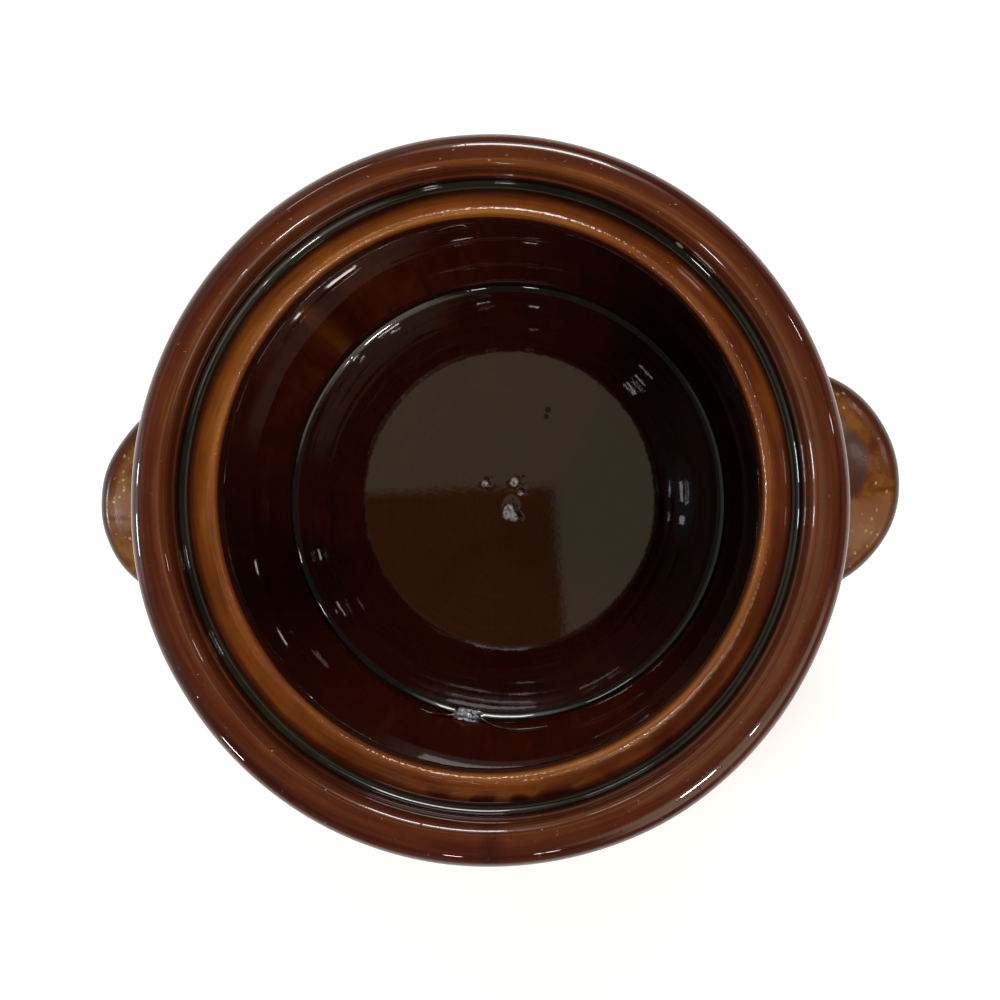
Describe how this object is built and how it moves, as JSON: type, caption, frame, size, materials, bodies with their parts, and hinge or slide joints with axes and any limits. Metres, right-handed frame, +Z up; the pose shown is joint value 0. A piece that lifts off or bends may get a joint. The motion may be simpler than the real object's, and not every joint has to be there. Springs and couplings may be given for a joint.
{
  "type": "bean pot",
  "caption": "Round-bellied stoneware bean pot with a rolled lip, a ledge and channel that seat a lid, a flat foot ring and solid half-round lugs at the sides.",
  "frame": {"origin": "centre of the base, on the surface that the pot stands on", "axes": "+Z up along the pot's axis, +X through the right lug, +Y towards the back"},
  "size_m": [0.238, 0.201, 0.133],
  "materials": {
    "body_glaze": "glossy red-brown glaze that breaks to gold on edges, over buff stoneware",
    "pooled_glaze": "thick glossy green-black glaze",
    "slip_glaze": "glossy brown glaze over smoothed slip",
    "lug_glaze": "glossy mottled amber and rust glaze with small pits"
  },
  "bodies": {
    "root": {"pot_body": "body_glaze", "gallery_glaze_pool": "pooled_glaze", "floor_glaze_pool": "pooled_glaze", "left_slip_joint": "slip_glaze", "right_slip_joint": "slip_glaze", "left_lug": "lug_glaze", "right_lug": "lug_glaze"}
  },
  "joints": []
}
